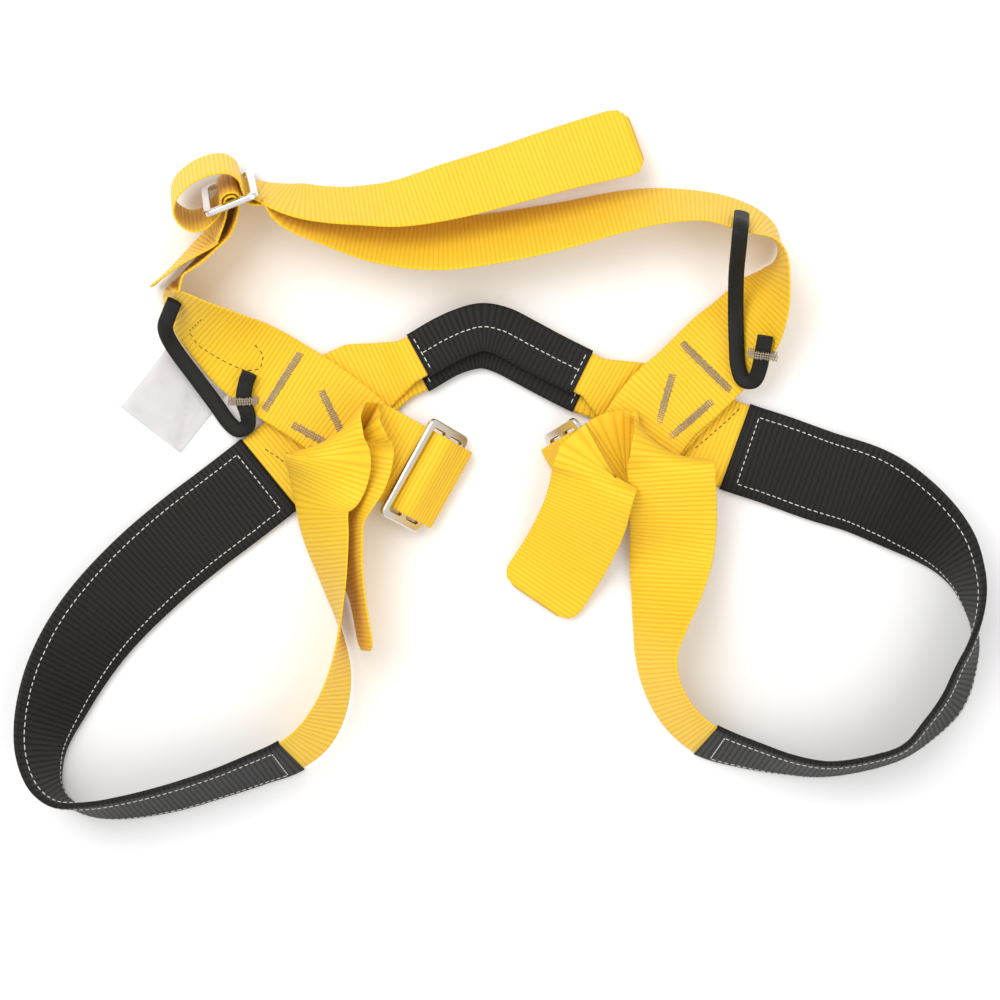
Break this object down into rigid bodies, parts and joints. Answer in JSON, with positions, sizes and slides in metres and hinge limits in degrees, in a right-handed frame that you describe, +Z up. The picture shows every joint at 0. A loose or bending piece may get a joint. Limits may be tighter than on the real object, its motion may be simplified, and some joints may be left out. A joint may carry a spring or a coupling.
{
  "type": "webbing climbing harness",
  "caption": "Adjustable sit harness of flat webbing: waist belt, sleeved leg loops, tie-in bridge, gear loops and three-bar steel buckles, lying open.",
  "frame": {"origin": "middle of the harness's footprint, on the surface it lies on", "axes": "+Z up from the surface; +X towards the hip that shows on the right, along the longest extent; +Y from the leg loops to the waist belt"},
  "size_m": [0.4878, 0.366, 0.055],
  "materials": {
    "yellow_webbing": "woven, ribbed across its width",
    "black_sleeve": "woven tubular sleeve",
    "black_webbing": "woven narrow tube",
    "steel": "polished",
    "bartack_thread": "dense zigzag thread",
    "white_thread": "lockstitch thread",
    "label_cloth": "smooth printed cloth, left blank"
  },
  "bodies": {
    "harness": {"bartack_gear_left": "bartack_thread", "bartack_gear_right": "bartack_thread", "bartack_hip_left_1": "bartack_thread", "bartack_hip_left_2": "bartack_thread", "bartack_hip_left_3": "bartack_thread", "bartack_hip_right_1": "bartack_thread", "bartack_hip_right_2": "bartack_thread", "bartack_hip_right_3": "bartack_thread", "bridge_sleeve_lower": "black_sleeve", "bridge_sleeve_upper": "black_sleeve", "bridge_webbing_lower": "yellow_webbing", "bridge_webbing_upper": "yellow_webbing", "gear_loop_left": "black_webbing", "gear_loop_right": "black_webbing", "leg_sleeve_left": "black_sleeve", "leg_sleeve_right": "black_sleeve", "leg_webbing_left": "yellow_webbing", "leg_webbing_right": "yellow_webbing", "size_label": "label_cloth", "sleeve_stitching_left": "white_thread", "sleeve_stitching_right": "white_thread", "waist_belt_long": "yellow_webbing", "waist_belt_short": "yellow_webbing"},
    "leg_buckle_left": {"leg_buckle_left": "steel"},
    "leg_buckle_right": {"leg_buckle_right": "steel"},
    "waist_buckle": {"waist_buckle": "steel"}
  },
  "joints": [
    {"name": "leg_buckle_left_rock", "type": "hinge", "parent": "harness", "child": "leg_buckle_left", "pos_m": [-0.0403, -0.0066, 0.01565], "axis": [0.4848, 0.8746, 0], "range_deg": [0, 2]},
    {"name": "leg_buckle_right_rock", "type": "hinge", "parent": "harness", "child": "leg_buckle_right", "pos_m": [0.0417, -0.0056, 0.01665], "axis": [0.5, -0.866, 0], "range_deg": [-1, 2]},
    {"name": "waist_buckle_rock", "type": "hinge", "parent": "harness", "child": "waist_buckle", "pos_m": [-0.1378, 0.1354, 0.02815], "axis": [-0.1403, 0.3473, -0.9272], "range_deg": [-3, 2]}
  ]
}
